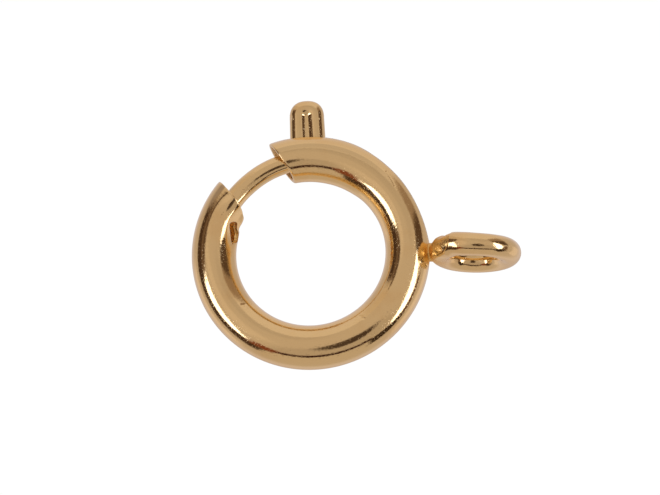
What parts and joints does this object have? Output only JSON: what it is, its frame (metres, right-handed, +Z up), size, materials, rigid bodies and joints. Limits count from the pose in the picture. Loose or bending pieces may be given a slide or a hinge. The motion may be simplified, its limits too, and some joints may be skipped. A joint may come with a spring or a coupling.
{
  "type": "spring ring clasp",
  "caption": "Round jewellery clasp: a bent tube with a sprung wire bolt across its gap, a thumb lever and a soldered end loop.",
  "frame": {"origin": "on the surface that the clasp lies on, under the middle of its box", "axes": "+X from the ring towards the end loop, +Y towards the thumb lever, +Z up from the surface; the ring lies tipped 5.3 degrees, its loop side raised, as the clasp rests by itself"},
  "size_m": [0.0166, 0.0138, 0.0047],
  "materials": {
    "gold_tube": "polished gold plate",
    "gold_wire": "polished gold plate",
    "spring_wire": "bright drawn spring wire"
  },
  "bodies": {
    "ring": {"ring_body": "gold_tube", "spring": "spring_wire"},
    "gate": {"bolt": "gold_wire"}
  },
  "joints": [
    {"name": "bolt_slide", "type": "hinge", "parent": "ring", "child": "gate", "pos_m": [-0.00228, -0.00095, 0.00158], "axis": [0.0926, -0.0136, -0.9956], "range_deg": [0, 48], "stiffness_Nm_per_rad": 0.008, "springref_deg": -34.38, "deforming": ["spring"]}
  ]
}
